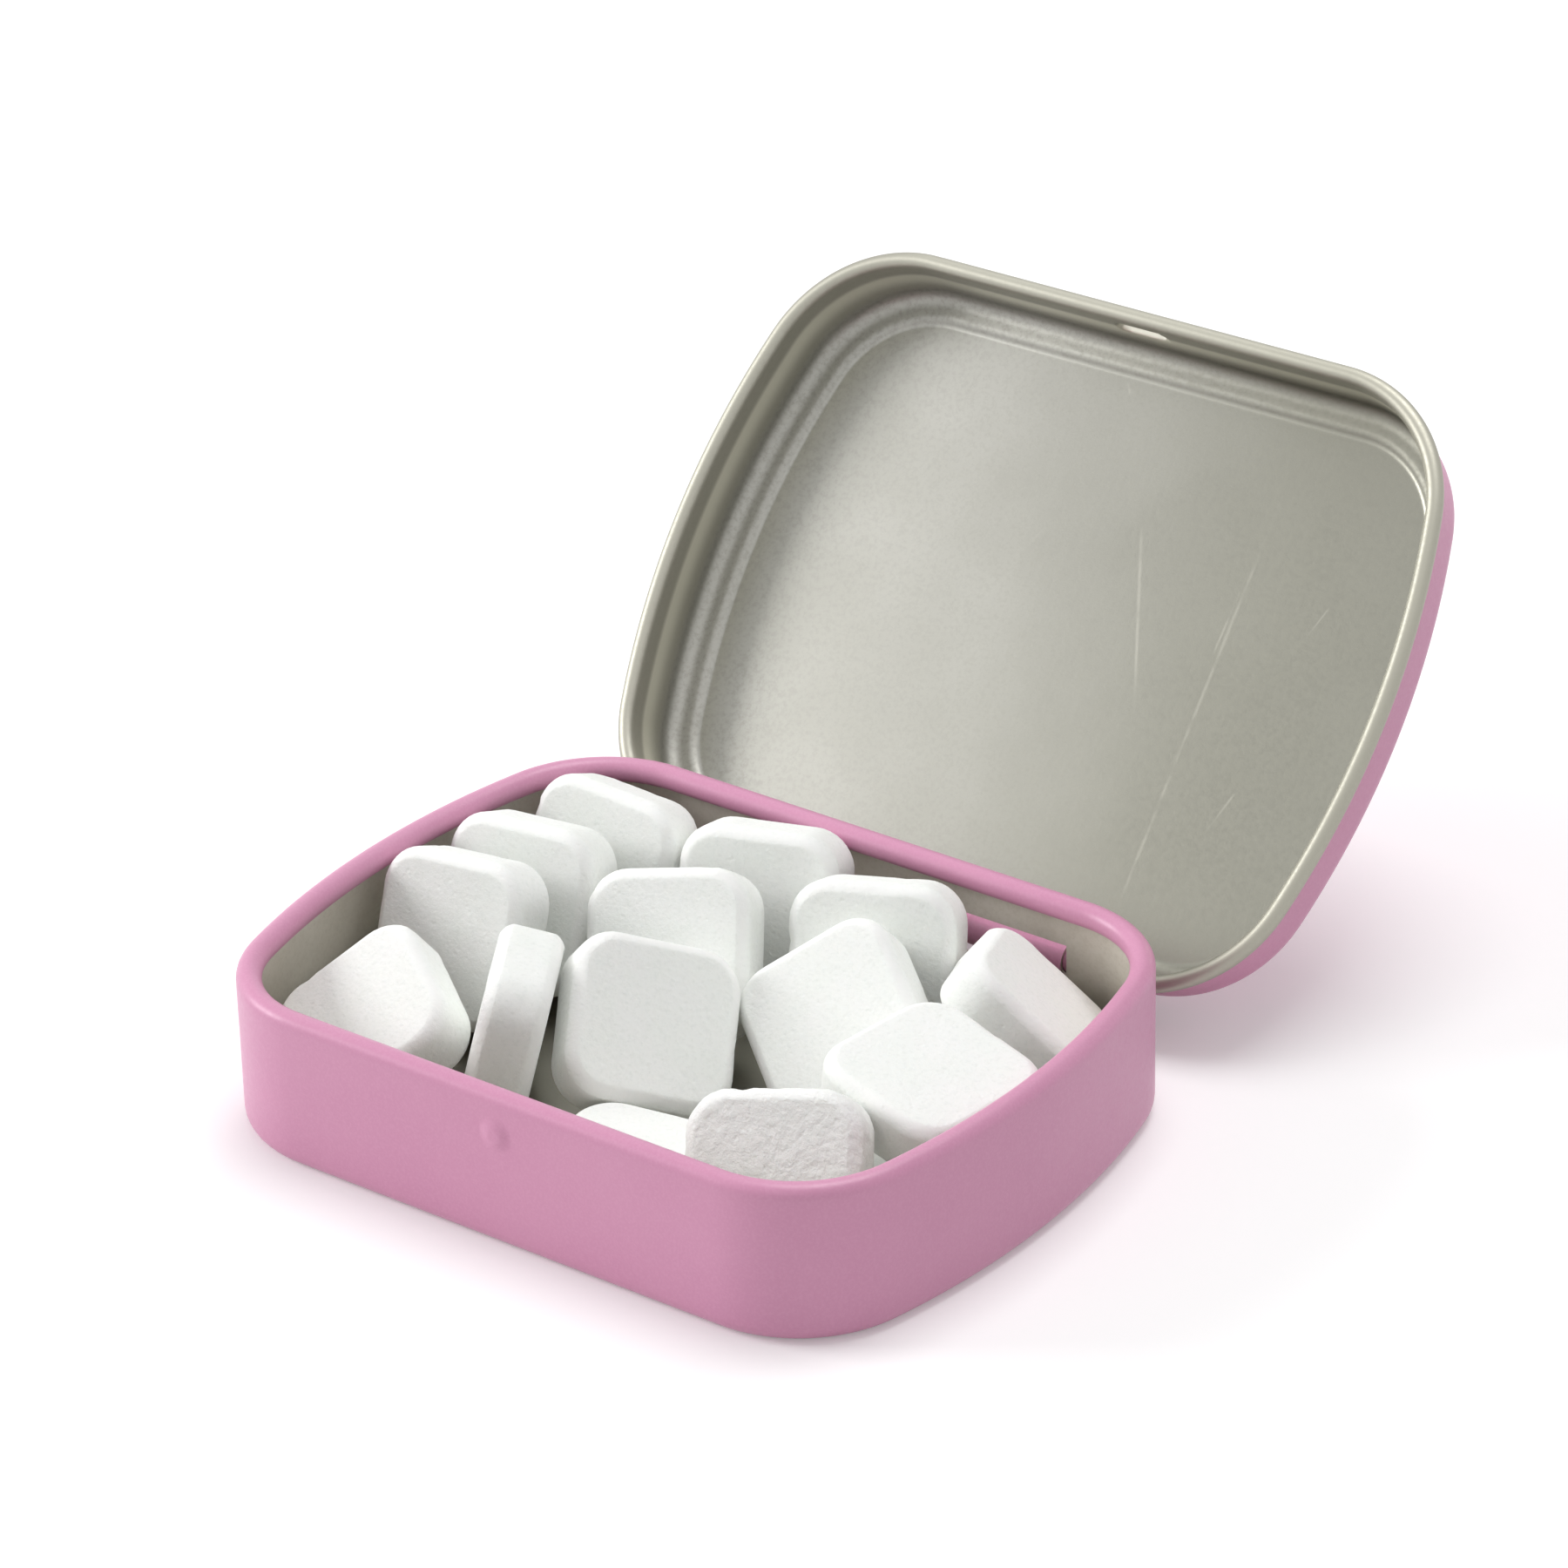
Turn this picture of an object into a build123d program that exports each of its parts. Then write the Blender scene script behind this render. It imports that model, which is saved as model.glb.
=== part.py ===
from build123d import *
import os
from math import atan2, copysign, cos, hypot, pi, radians, sin, sqrt

# A small hinged mint tin, open, with its mints. Millimetres, +Z up.
# The origin is at the middle of the base's underside. X runs along the long side,
# the front wall with the latch bump faces -Y, and the hinge is at the back, +Y.

# Plan of the tin, over the lid's rolled rim
tin_length = 62.0
tin_depth = 48.0
corner_radius = 11.5
end_bow_radius = 65.0
sheet = 0.25

# Base
base_inset = 1.65
base_height = 12.0
base_floor_radius = 1.3
base_rim_radius = 0.9
base_rim_turn = 270.0

# Lid
lid_rim_reach = 1.0
lid_rim_turn = 270.0
lid_rim_level = 7.9
lid_height = 6.05
lid_shoulder_radius = 1.35
lid_ledge = 0.5
lid_step_radius = 0.8
lid_step_turn = 36.0
lid_step_land = 0.4
open_angle = 131.4

# Hinge: two tabs of the lid rolled round two bars of the base
hinge_level = 6.0
hinge_standoff = 0.75
hinge_margin = 2.02
tab_width = 8.2
tab_turn = 285.0
bar_radius = 0.95
bar_clearance = 0.1
bar_seat = 0.7
window_clearance = 0.3
rim_relief = 0.3

# Latch: a pressed bump on the base, and a pressed pocket for it in the lid
bump_level = 8.95
bump_diameter = 2.0
bump_proud = 0.25
pocket_level = 9.25
pocket_width = 4.7
pocket_height = 2.0
pocket_proud = 0.63
pocket_taper = 35.0

# Mints
mint_side = 12.3
mint_thickness = 4.7
mint_corner_radius = 3.1
mint_edge_radius = 0.9
mint_clearance = 0.08
throat_steps = 48
parting_steps = 12
settling_rounds = 150
least_level_share = 0.3
least_cross_share = 0.01

# One row per mint: how far along X and Y the middle is, as shares of the throat's half
# sizes, the height above the floor in mints, then three angles in degrees: where the
# face looks (0 is to the front), how far it leans over, and the mint's turn in its face
mint_place_shares = [
    (0.15, -0.72, 0, 0, 0, 10),
    (0.80, -0.10, 0, 0, 0, 4),
    (0.84, -0.06, 1.1, 72, 10, 8),
    (-0.80, -0.62, 0.1, -16, 38, -22),
    (-0.78, 0.00, 0, 1, 66, 5),
    (-0.76, 0.34, 0, 5, 68, 2),
    (-0.68, 0.78, 0, 3, 66, -4),
    (-0.38, -0.40, 0, -59, 76, 2),
    (-0.23, 0.32, 0, 15, 56, 10),
    (-0.04, -0.28, 0, 65, 46, -27),
    (0.26, 0.22, 0, -2, 43, -40),
    (-0.20, 0.80, 0, 15, 72, 2),
    (0.25, 0.78, 0, 18, 68, 4),
    (0.67, 0.70, 0.1, 129, 42, -20),
    (0.57, -0.66, 0, 18, 54, 8),
]

# Values worked out from the sizes above
half_length = tin_length / 2
half_depth = tin_depth / 2
base_back = half_depth - base_inset
hinge_y = base_back + hinge_standoff
rim_radius = (lid_rim_reach + sheet) / 2
roll_inner = bar_radius + bar_clearance
roll_outer = roll_inner + sheet
roll_middle = roll_inner + sheet / 2
skirt_middle = half_depth - lid_rim_reach - sheet / 2
tab_neck_radius = hinge_y - skirt_middle
window_width = tab_width + 2 * window_clearance
window_height = 2 * (roll_outer + window_clearance)
cut_overrun = 2 * sheet


# Plan outline: straight long sides, bowed short sides and round corners

def corner_centre():
    """Centre of the corner arc in the +X +Y quarter, tangent inside the bow and the side."""
    y = half_depth - corner_radius
    x = half_length - end_bow_radius + sqrt((end_bow_radius - corner_radius) ** 2 - y**2)
    return x, y


def bow_tangent_angle():
    """Angle from +X at which the bowed end meets the corner arc."""
    x, y = corner_centre()
    return atan2(y, x - (half_length - end_bow_radius))


def outline(inset, level):
    """Closed wire of the plan, this far inside the lid's rim, from the middle of the front."""
    corner_x, corner_y = corner_centre()
    meet = bow_tangent_angle()
    side_y = half_depth - inset
    radius = corner_radius - inset
    middle = (meet + pi / 2) / 2

    def on_corner(angle, east, north):
        return east * (corner_x + radius * cos(angle)), north * (corner_y + radius * sin(angle))

    def corner(east, north):
        angles = (pi / 2, middle, meet) if east == -north else (meet, middle, pi / 2)
        return ThreePointArc(*(on_corner(angle, east, north) for angle in angles))

    def bow(east):
        middle_point = (east * (half_length - inset), 0)
        return ThreePointArc(on_corner(meet, east, -east), middle_point, on_corner(meet, east, east))

    edges = [
        Line((0, -side_y), (corner_x, -side_y)),
        corner(1, -1),
        bow(1),
        corner(1, 1),
        Line((corner_x, side_y), (-corner_x, side_y)),
        corner(-1, 1),
        bow(-1),
        corner(-1, -1),
        Line((-corner_x, -side_y), (0, -side_y)),
    ]
    return Pos(0, 0, level) * Wire(edges)


def plan_reach(angle, inset):
    """How far the outline reaches in the direction of this angle."""
    corner_x, corner_y = corner_centre()
    east, north = abs(cos(angle)), abs(sin(angle))
    if atan2(north, east) < bow_tangent_angle():
        return east * (half_length - end_bow_radius) + end_bow_radius - inset
    return east * corner_x + north * corner_y + corner_radius - inset


# Bent sheet

def sheet_section(start, heading, moves):
    """Section of a bent sheet, followed along its middle by (length or radius, turn) moves."""
    y, z = start
    left = []
    right = []
    for size, turn in moves:
        sense = copysign(1, turn)

        def point(share, offset):
            angle = radians(heading + turn * share)
            if turn:
                bend_y = y - sense * size * sin(radians(heading))
                bend_z = z + sense * size * cos(radians(heading))
                reach = sense * size - offset
                return bend_y + reach * sin(angle), bend_z - reach * cos(angle)
            return (
                y + share * size * cos(angle) - offset * sin(angle),
                z + share * size * sin(angle) + offset * cos(angle),
            )

        for edges, offset in ((left, sheet / 2), (right, -sheet / 2)):
            ends = point(0, offset), point(1, offset)
            edges.append(ThreePointArc(ends[0], point(0.5, offset), ends[1]) if turn else Line(*ends))
        y, z = point(1, 0)
        heading += turn
    caps = [Line(left[-1] @ 1, right[-1] @ 1), Line(right[0] @ 0, left[0] @ 0)]
    return Plane.YZ * make_face(Wire(left + caps[:1] + right[::-1] + caps[1:]))


def pressed_ring(section, inset):
    """The section swept once round the plan."""
    return sweep(sections=section, path=outline(inset, 0))


# Base

def base_shell():
    """Floor, wall and inward rolled rim as one sheet."""
    floor_bend = base_floor_radius - sheet / 2
    wall = base_height - base_floor_radius - base_rim_radius
    moves = [
        (floor_bend, -90),
        (wall, 0),
        (base_rim_radius - sheet / 2, -base_rim_turn),
    ]
    start = (-base_back + base_floor_radius, sheet / 2)
    ring = pressed_ring(sheet_section(start, 180, moves), base_inset)
    floor = extrude(make_face(outline(base_inset + base_floor_radius, 0)), sheet)
    return ring + floor


def latch_bump():
    """Outer and inner ball of the pressed bump on the front wall."""
    half_width = bump_diameter / 2
    radius = (half_width**2 + bump_proud**2) / (2 * bump_proud)
    place = Pos(0, radius - bump_proud - base_back, bump_level)
    ball = place * Sphere(radius)
    front = Pos(0, -base_back - bump_proud, bump_level)
    slab = Box(bump_diameter, 2 * bump_proud + sheet, bump_diameter)
    return ball & (front * slab), place * Sphere(radius - sheet)


def hinge_places():
    """Middles of the two hinge tabs, a margin in from where the corners start."""
    reach = corner_centre()[0] - hinge_margin - window_width / 2
    return [Pos(side * reach, hinge_y, hinge_level) for side in (-1, 1)]


def hinge_bar():
    """Bar across a window, fast in the wall at both ends."""
    return Rot(0, 90, 0) * Cylinder(bar_radius, window_width + 2 * bar_seat)


def make_base():
    base = base_shell()
    bump, recess = latch_bump()
    base = base + bump - recess
    window = Box(window_width, 2 * (roll_outer + window_clearance), window_height)
    for place in hinge_places():
        base -= place * window
    for place in hinge_places():
        base += place * hinge_bar()
    return base


# Lid, built closed and then turned open about the hinge

def lid_panel_inset():
    """From the rim to the flat panel inside the step."""
    step = 2 * lid_step_radius * sin(radians(lid_step_turn))
    return lid_rim_reach + lid_shoulder_radius + lid_ledge + step + lid_step_land


def lid_shell():
    """Flat panel, step, ledge, skirt and outward rolled rim as one sheet."""
    drop = 2 * lid_step_radius * (1 - cos(radians(lid_step_turn)))
    shoulder = lid_shoulder_radius - sheet / 2
    skirt = lid_height - sheet / 2 - drop - shoulder
    moves = [
        (lid_step_land, 0),
        (lid_step_radius, lid_step_turn),
        (lid_step_radius, -lid_step_turn),
        (lid_ledge, 0),
        (shoulder, 90),
        (skirt, 0),
        (rim_radius - sheet / 2, -lid_rim_turn),
    ]
    top = lid_rim_level + lid_height
    start = (-half_depth + lid_panel_inset(), top - sheet / 2)
    ring = pressed_ring(sheet_section(start, 180, moves), 0)
    panel = extrude(make_face(outline(lid_panel_inset(), top)), -sheet)
    return ring + panel


def latch_pocket():
    """Outside and inside of the pocket pressed into the front of the skirt."""
    def pressing(back, width, height, reach):
        plane = Plane((0, -back, pocket_level), x_dir=(1, 0, 0), z_dir=(0, -1, 0))
        return extrude(plane * SlotOverall(width, height), reach, taper=pocket_taper)

    outside = pressing(skirt_middle, pocket_width, pocket_height, pocket_proud + sheet / 2)
    inner_face = skirt_middle - sheet / 2
    inside = pressing(inner_face, pocket_width - 2 * sheet, pocket_height - 2 * sheet, pocket_proud)
    return outside, inside


def hinge_tab():
    """Tab that leaves the skirt and rolls round the bar, with the hinge axis as its origin."""
    top = lid_rim_level + rim_radius + sheet - hinge_level
    moves = [
        (top - roll_middle - tab_neck_radius, 0),
        (tab_neck_radius, 90),
        (roll_middle, -tab_turn),
    ]
    section = sheet_section((-tab_neck_radius, top), 270, moves)
    return extrude(section, tab_width / 2, both=True)


def rim_gap():
    """Where the rolled rim stops for a tab, with the hinge axis as its origin."""
    width = tab_width + 2 * rim_relief
    low = lid_rim_level - rim_radius - cut_overrun - hinge_level
    high = lid_rim_level + rim_radius - hinge_level
    inner = skirt_middle - sheet / 2 - cut_overrun - hinge_y
    outer = half_depth + cut_overrun - hinge_y
    middle = Pos(0, (inner + outer) / 2, (low + high) / 2)
    return middle * Box(width, outer - inner, high - low)


def make_lid():
    lid = lid_shell()
    outside, inside = latch_pocket()
    lid = lid + outside - inside
    for place in hinge_places():
        lid -= place * rim_gap()
    for place in hinge_places():
        lid += place * hinge_tab()
    axis = Axis((0, hinge_y, hinge_level), (1, 0, 0))
    return lid.rotate(axis, -open_angle)


# Mints

def make_mint():
    """One rounded square tablet about its own middle."""
    blank = extrude(
        RectangleRounded(mint_side, mint_side, mint_corner_radius), mint_thickness / 2, both=True
    )
    faces = blank.faces().filter_by(Axis.Z)
    return fillet(faces.edges(), mint_edge_radius)


def cross(one, two):
    return (
        one[1] * two[2] - one[2] * two[1],
        one[2] * two[0] - one[0] * two[2],
        one[0] * two[1] - one[1] * two[0],
    )


def dot(one, two):
    return sum(a * b for a, b in zip(one, two))


def mint_axes(looks, leans, turned):
    """Two edge directions and the face direction of a mint, from three angles in degrees."""
    looks, leans, turned = radians(looks), radians(leans), radians(turned)
    face = (sin(looks) * sin(leans), -cos(looks) * sin(leans), cos(leans))
    level = (cos(looks), sin(looks), 0)
    steep = cross(face, level)
    first = tuple(cos(turned) * a + sin(turned) * b for a, b in zip(level, steep))
    return first, cross(face, first), face


def mint_reach(axes, direction):
    """How far a mint reaches from its middle in a direction."""
    first, second, face = (abs(dot(axis, direction)) for axis in axes)
    flat = (mint_side / 2 - mint_corner_radius) * (first + second)
    rounded = (mint_corner_radius - mint_edge_radius) * hypot(first, second)
    return flat + rounded + (mint_thickness / 2 - mint_edge_radius) * face + mint_edge_radius


def throat_reach(angle):
    """How far the opening inside the base's rolled rim reaches in a direction."""
    return plan_reach(angle, base_inset + 2 * base_rim_radius + mint_clearance)


def inside_throat(place, axes):
    """The nearest place at which a mint stands clear of the rolled rim all round."""
    x, y, z = place
    for step in range(throat_steps):
        angle = 2 * pi * step / throat_steps
        direction = (cos(angle), sin(angle), 0)
        over = dot(direction, (x, y, 0)) + mint_reach(axes, direction) - throat_reach(angle)
        x -= max(over, 0) * direction[0]
        y -= max(over, 0) * direction[1]
    return x, y, z


def parting_directions(axes, other_axes):
    """Unit directions along which two mints may be clear of each other."""
    steps = parting_steps
    spread = [
        (cos(east) * cos(up), sin(east) * cos(up), sin(up))
        for east in (pi * step / steps for step in range(2 * steps))
        for up in (pi * step / (2 * steps) for step in range(steps + 1))
    ]
    crossed = [cross(one, two) for one in axes for two in other_axes]
    raw = list(axes) + list(other_axes) + crossed + spread
    lines = [line for line in raw if hypot(*line) > least_cross_share]
    return [tuple(part / hypot(*line) for part in line) for line in lines]


def parting_gauge(axes, other_axes):
    """Each direction with how far apart two mints' middles are along it when they touch."""
    return [
        (line, mint_reach(axes, line) + mint_reach(other_axes, line) + mint_clearance)
        for line in parting_directions(axes, other_axes)
    ]


def parting_move(offset, gauge):
    """Shortest level move that clears a mint from one that lies this far behind it."""
    moves = []
    for direction, apart in gauge:
        along = dot(offset, direction)
        overlap = apart - abs(along)
        if overlap <= 0:
            return 0, 0
        level = hypot(direction[0], direction[1])
        if level > least_level_share:
            push = copysign(overlap / level**2, along)
            moves.append((overlap / level, push * direction[0], push * direction[1]))
    return min(moves)[1:]


def mint_gauges(mints):
    """Gauge of each pair of mints, the later one first."""
    pairs = [(one, two) for one in range(len(mints)) for two in range(one)]
    return {pair: parting_gauge(mints[pair[0]], mints[pair[1]]) for pair in pairs}


def offset_between(place, other):
    return tuple(a - b for a, b in zip(place, other))


def start_mints():
    """Place of each mint from its row of shares, and its axes."""
    half_x = throat_reach(0)
    half_y = throat_reach(pi / 2)
    places = []
    mints = []
    for east, north, layer, looks, leans, turned in mint_place_shares:
        axes = mint_axes(looks, leans, turned)
        low = sheet + mint_clearance + layer * (mint_thickness + mint_clearance)
        places.append((east * half_x, north * half_y, low + mint_reach(axes, (0, 0, 1))))
        mints.append(axes)
    return places, mints


def nudge_apart(places, mints, gauges):
    """Moves the mints level, a little at a time, until they are clear of each other."""
    for _ in range(settling_rounds):
        for (one, two), gauge in gauges.items():
            offset = offset_between(places[one], places[two])
            if hypot(*offset) < 2 * mint_side:
                x, y = parting_move(offset, gauge)
                places[one] = (places[one][0] + x / 2, places[one][1] + y / 2, places[one][2])
                places[two] = (places[two][0] - x / 2, places[two][1] - y / 2, places[two][2])
        places = [inside_throat(place, axes) for place, axes in zip(places, mints)]
    return places


def rise_over(offset, gauge):
    """Least rise that clears a mint from one that lies this far below it."""
    rises = []
    for direction, apart in gauge:
        along = dot(offset, direction)
        if abs(along) >= apart - mint_clearance:
            return 0
        sense = copysign(1, direction[2])
        if abs(direction[2]) > least_level_share:
            rises.append((apart - sense * along) / abs(direction[2]))
    return min(rises)


def pile_up(places, gauges):
    """Raises each mint, lowest first, off the ones that a small tin leaves it no room beside."""
    laid = []
    for one in sorted(range(len(places)), key=lambda number: places[number][2]):
        rise = 1
        while rise > 0:
            rise = 0
            for two in laid:
                offset = offset_between(places[one], places[two])
                rise = max(rise, rise_over(offset, gauges[max(one, two), min(one, two)]))
            places[one] = (*places[one][:2], places[one][2] + rise)
        laid.append(one)
    return places


def lay_mints():
    """Place and axes of each mint."""
    places, mints = start_mints()
    gauges = mint_gauges(mints)
    places = pile_up(nudge_apart(places, mints, gauges), gauges)
    return list(zip(places, mints))


def make_mints():
    mint = make_mint()
    mints = []
    for place, (first, _, face) in lay_mints():
        mints.append(Plane(place, x_dir=first, z_dir=face).location * mint)
    return mints


def write(name, shape):
    shape.label = name
    export_step(shape, os.path.join("parts", name + ".step"))


def main():
    os.makedirs("parts", exist_ok=True)
    write("base", make_base())
    write("lid", make_lid())
    for number, mint in enumerate(make_mints(), 1):
        write(f"mint_{number:02d}", mint)


main()
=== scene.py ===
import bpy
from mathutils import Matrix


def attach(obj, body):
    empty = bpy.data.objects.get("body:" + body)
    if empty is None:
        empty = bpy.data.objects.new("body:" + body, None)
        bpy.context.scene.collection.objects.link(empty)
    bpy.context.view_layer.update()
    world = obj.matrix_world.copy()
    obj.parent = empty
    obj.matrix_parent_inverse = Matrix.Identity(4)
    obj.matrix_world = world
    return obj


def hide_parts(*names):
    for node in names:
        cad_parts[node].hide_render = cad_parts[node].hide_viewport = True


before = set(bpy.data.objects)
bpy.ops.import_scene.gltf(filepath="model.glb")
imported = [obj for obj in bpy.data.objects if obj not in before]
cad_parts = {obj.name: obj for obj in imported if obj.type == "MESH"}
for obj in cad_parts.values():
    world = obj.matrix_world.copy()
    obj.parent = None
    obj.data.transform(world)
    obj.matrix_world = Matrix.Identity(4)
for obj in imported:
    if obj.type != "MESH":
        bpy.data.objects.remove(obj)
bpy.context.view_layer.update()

from math import atan2, ceil, copysign, cos, hypot, pi, radians, sin, sqrt

import bmesh
import bpy
from mathutils import Matrix, Vector, noise

# A small hinged mint tin, open, with its mints. The sizes here are in millimetres, as in
# the part's source, and are turned into metres where a mesh is made.

MM = 0.001

# Plan of the tin
HALF_LENGTH = 31.0
HALF_DEPTH = 24.0
CORNER_RADIUS = 11.5
END_BOW_RADIUS = 65.0
SHEET = 0.25

# Base
BASE_INSET = 1.65
BASE_HEIGHT = 12.0
BASE_FLOOR_RADIUS = 1.3
BASE_RIM_RADIUS = 0.9

# Lid
LID_REACH = 1.0
LID_RIM_LEVEL = 7.9
LID_HEIGHT = 6.05
LID_SHOULDER = 1.35
LID_LEDGE = 0.5
LID_STEP_RADIUS = 0.8
LID_STEP_TURN = 36.0
LID_LAND = 0.4
OPEN_ANGLE = 131.4

# Hinge
HINGE_LEVEL = 6.0
HINGE_STANDOFF = 0.75
HINGE_MARGIN = 2.02
TAB_WIDTH = 8.2
TAB_TURN = 285.0
BAR_RADIUS = 0.95
BAR_SEAT = 0.7
BAR_CHAMFER = 0.08
ROLL_MIDDLE = 1.175
ROLL_OUTER = 1.3
WINDOW_CLEARANCE = 0.3

# Latch
BUMP_LEVEL = 8.95
BUMP_RADIUS = 1.4
BUMP_PROUD = 0.25
BUMP_FADE = 1.35
POCKET_LEVEL = 9.25
POCKET_WIDTH = 4.7
POCKET_HEIGHT = 2.0
POCKET_PROUD = 0.63
POCKET_SLOPE = 0.55
LATCH_REACH = 3.0
BUMP_TOP = 10.4
POCKET_TOP = 10.6

# Further levels of rows on the straight walls
BASE_LOW_ROW = 2.5
SKIRT_HIGH_ROWS = 12.0, 11.2
SKIRT_LOW_ROW = 8.2

# Mints
MINT_SIDE = 12.3
MINT_THICKNESS = 4.7
MINT_CORNER = 3.1
MINT_EDGE = 0.9
MINT_EDGE_FLATNESS = 1.4
CRUMBLY_MINT = 15

# Worked out from the sizes above
CORNER_Y = HALF_DEPTH - CORNER_RADIUS
BOW_X = HALF_LENGTH - END_BOW_RADIUS
CORNER_X = BOW_X + sqrt((END_BOW_RADIUS - CORNER_RADIUS) ** 2 - CORNER_Y**2)
MEET = atan2(CORNER_Y, CORNER_X - BOW_X)
BASE_BACK = HALF_DEPTH - BASE_INSET
HINGE_Y = BASE_BACK + HINGE_STANDOFF
RIM_RADIUS = (LID_REACH + SHEET) / 2
SKIRT_MIDDLE = HALF_DEPTH - LID_REACH - SHEET / 2
TAB_NECK = HINGE_Y - SKIRT_MIDDLE
WINDOW_WIDTH = TAB_WIDTH + 2 * WINDOW_CLEARANCE
HINGE_X = CORNER_X - HINGE_MARGIN - WINDOW_WIDTH / 2
TAB_TOP = LID_RIM_LEVEL + RIM_RADIUS - HINGE_LEVEL

# Steps of the meshes: faces round a bend, and the pitch of rows and columns in millimetres
CORNER_STEPS = 30
BOW_STEPS = 36
ROUND_STEPS = 24
ROD_STEPS = 40
PLAIN_PITCH = 1.0
FRONT_PITCH = 1.2
LATCH_PITCH = 0.12
BUMP_ROW_PITCH = 0.14
POCKET_ROW_PITCH = 0.125
POCKET_ROWS = 14
WALL_ROW_PITCH = 0.8
FLOOR_MARGIN = 1.0
TOLERANCE = 0.001

# Bends sharper than this, in degrees, are shaded as edges
SHARP_BEND = 38
SHARP_MINT_BEND = 80


# Outline of the tin, as places along it with the direction that faces out

def spread(start, end, pitch):
    """Even steps from start up to, but without, end."""
    count = max(1, ceil(abs(end - start) / pitch))
    return [start + (end - start) * step / count for step in range(count)]


def joined(*stops, pitch):
    """Even steps over each stretch between the stops, each with its own pitch."""
    places = []
    for start, end, size in zip(stops, stops[1:], pitch):
        places += spread(start, end, size)
    return places


def outline(front, back):
    """Places (x, y, out_x, out_y) round the rim from the middle of the front."""
    def arc(x, y, radius, start, end, steps):
        for step in range(steps):
            angle = start + (end - start) * step / steps
            yield x + radius * cos(angle), y + radius * sin(angle), cos(angle), sin(angle)

    def corner(x, y, start, end):
        return arc(x, y, CORNER_RADIUS, start, end, CORNER_STEPS)

    def bow(x, start, end):
        return arc(x, 0, END_BOW_RADIUS, start, end, BOW_STEPS)

    places = [(x, -HALF_DEPTH, 0, -1) for x in front if x >= 0]
    places += corner(CORNER_X, -CORNER_Y, -pi / 2, -MEET)
    places += bow(BOW_X, -MEET, MEET)
    places += corner(CORNER_X, CORNER_Y, MEET, pi / 2)
    places += [(x, HALF_DEPTH, 0, 1) for x in back]
    places += corner(-CORNER_X, CORNER_Y, pi / 2, pi - MEET)
    places += bow(-BOW_X, pi - MEET, pi + MEET)
    places += corner(-CORNER_X, -CORNER_Y, pi + MEET, 3 * pi / 2)
    places += [(x, -HALF_DEPTH, 0, -1) for x in front if x < 0]
    return places


# Bent sheet

def sheet_rows(start, heading, moves):
    """Both faces of a bent sheet, followed along its middle by (size, turn, shares) moves."""
    y, z = start
    left = []
    right = []
    for number, (size, turn, shares) in enumerate(moves):
        sense = copysign(1, turn)

        def place(share):
            angle = radians(heading + turn * share)
            if not turn:
                return y + share * size * cos(angle), z + share * size * sin(angle), angle
            bend_y = y - sense * size * sin(radians(heading))
            bend_z = z + sense * size * cos(radians(heading))
            return bend_y + sense * size * sin(angle), bend_z - sense * size * cos(angle), angle

        for share in shares if number else (0, *shares):
            row_y, row_z, angle = place(share)
            off_y, off_z = -SHEET / 2 * sin(angle), SHEET / 2 * cos(angle)
            left.append((row_y + off_y, row_z + off_z))
            right.append((row_y - off_y, row_z - off_z))
        y, z, _ = place(1)
        heading += turn
    return left, right


def even(steps):
    """Shares of a move, in even steps."""
    return [step / steps for step in range(1, steps + 1)]


def levels(start, stops):
    """Shares of a straight wall that put rows at these levels."""
    return [(level - start) / (stops[-1] - start) for level in stops]


def add_sheet(bm, left, right, skipped, closed, slots):
    """Faces of a sheet whose two sides are grids of points, with the cut edges closed."""
    rows = len(left[0])
    count = len(left)
    sides = []
    for grid in (left, right):
        sides.append([
            [bm.verts.new([MM * part for part in point]) for point in line] for line in grid
        ])

    def quad(corners, slot):
        face = bm.faces.new(corners)
        face.material_index = slot
        face.smooth = True

    def cut(one, two):
        (i, j), (k, l) = one, two
        quad((sides[0][i][j], sides[0][k][l], sides[1][k][l], sides[1][i][j]), slots[2])

    spans = count if closed else count - 1
    for i in range(spans):
        after = (i + 1) % count
        for j in range(rows - 1):
            if skipped(i, j):
                continue
            for grid, slot in zip(sides, slots):
                quad((grid[i][j], grid[after][j], grid[after][j + 1], grid[i][j + 1]), slot)
            if j == rows - 2 or skipped(i, j + 1):
                cut((i, j + 1), (after, j + 1))
            if j > 0 and skipped(i, j - 1):
                cut((i, j), (after, j))
            if closed and skipped((i - 1) % count, j) or not closed and i == 0:
                cut((i, j), (i, j + 1))
            if closed and skipped(after, j) or not closed and i == spans - 1:
                cut((after, j), (after, j + 1))
            if not closed and j == 0:
                cut((i, 0), (after, 0))
    if closed:
        for grid, slot in zip(sides, slots):
            quad([line[0] for line in grid], slot)


def swept(places, profile, pressed):
    """Grid of points of one face of a sheet, swept round the outline."""
    grid = []
    for x, y, out_x, out_y in places:
        line = []
        for profile_y, z in profile:
            inset = profile_y + HALF_DEPTH
            proud = pressed(x, z) if out_y == -1 else 0
            line.append((x - (inset - proud) * out_x, y - (inset - proud) * out_y, z))
        grid.append(line)
    return grid


def add_rings(bm, rings, round_ends):
    """Faces between closed rings of vertices, and one at each end."""
    for one, two in zip(rings, rings[1:]):
        for k in range(len(one)):
            after = (k + 1) % len(one)
            bm.faces.new((one[k], one[after], two[after], two[k])).smooth = True
    for ring in (rings[0], rings[-1]):
        bm.faces.new(ring).smooth = round_ends


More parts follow.
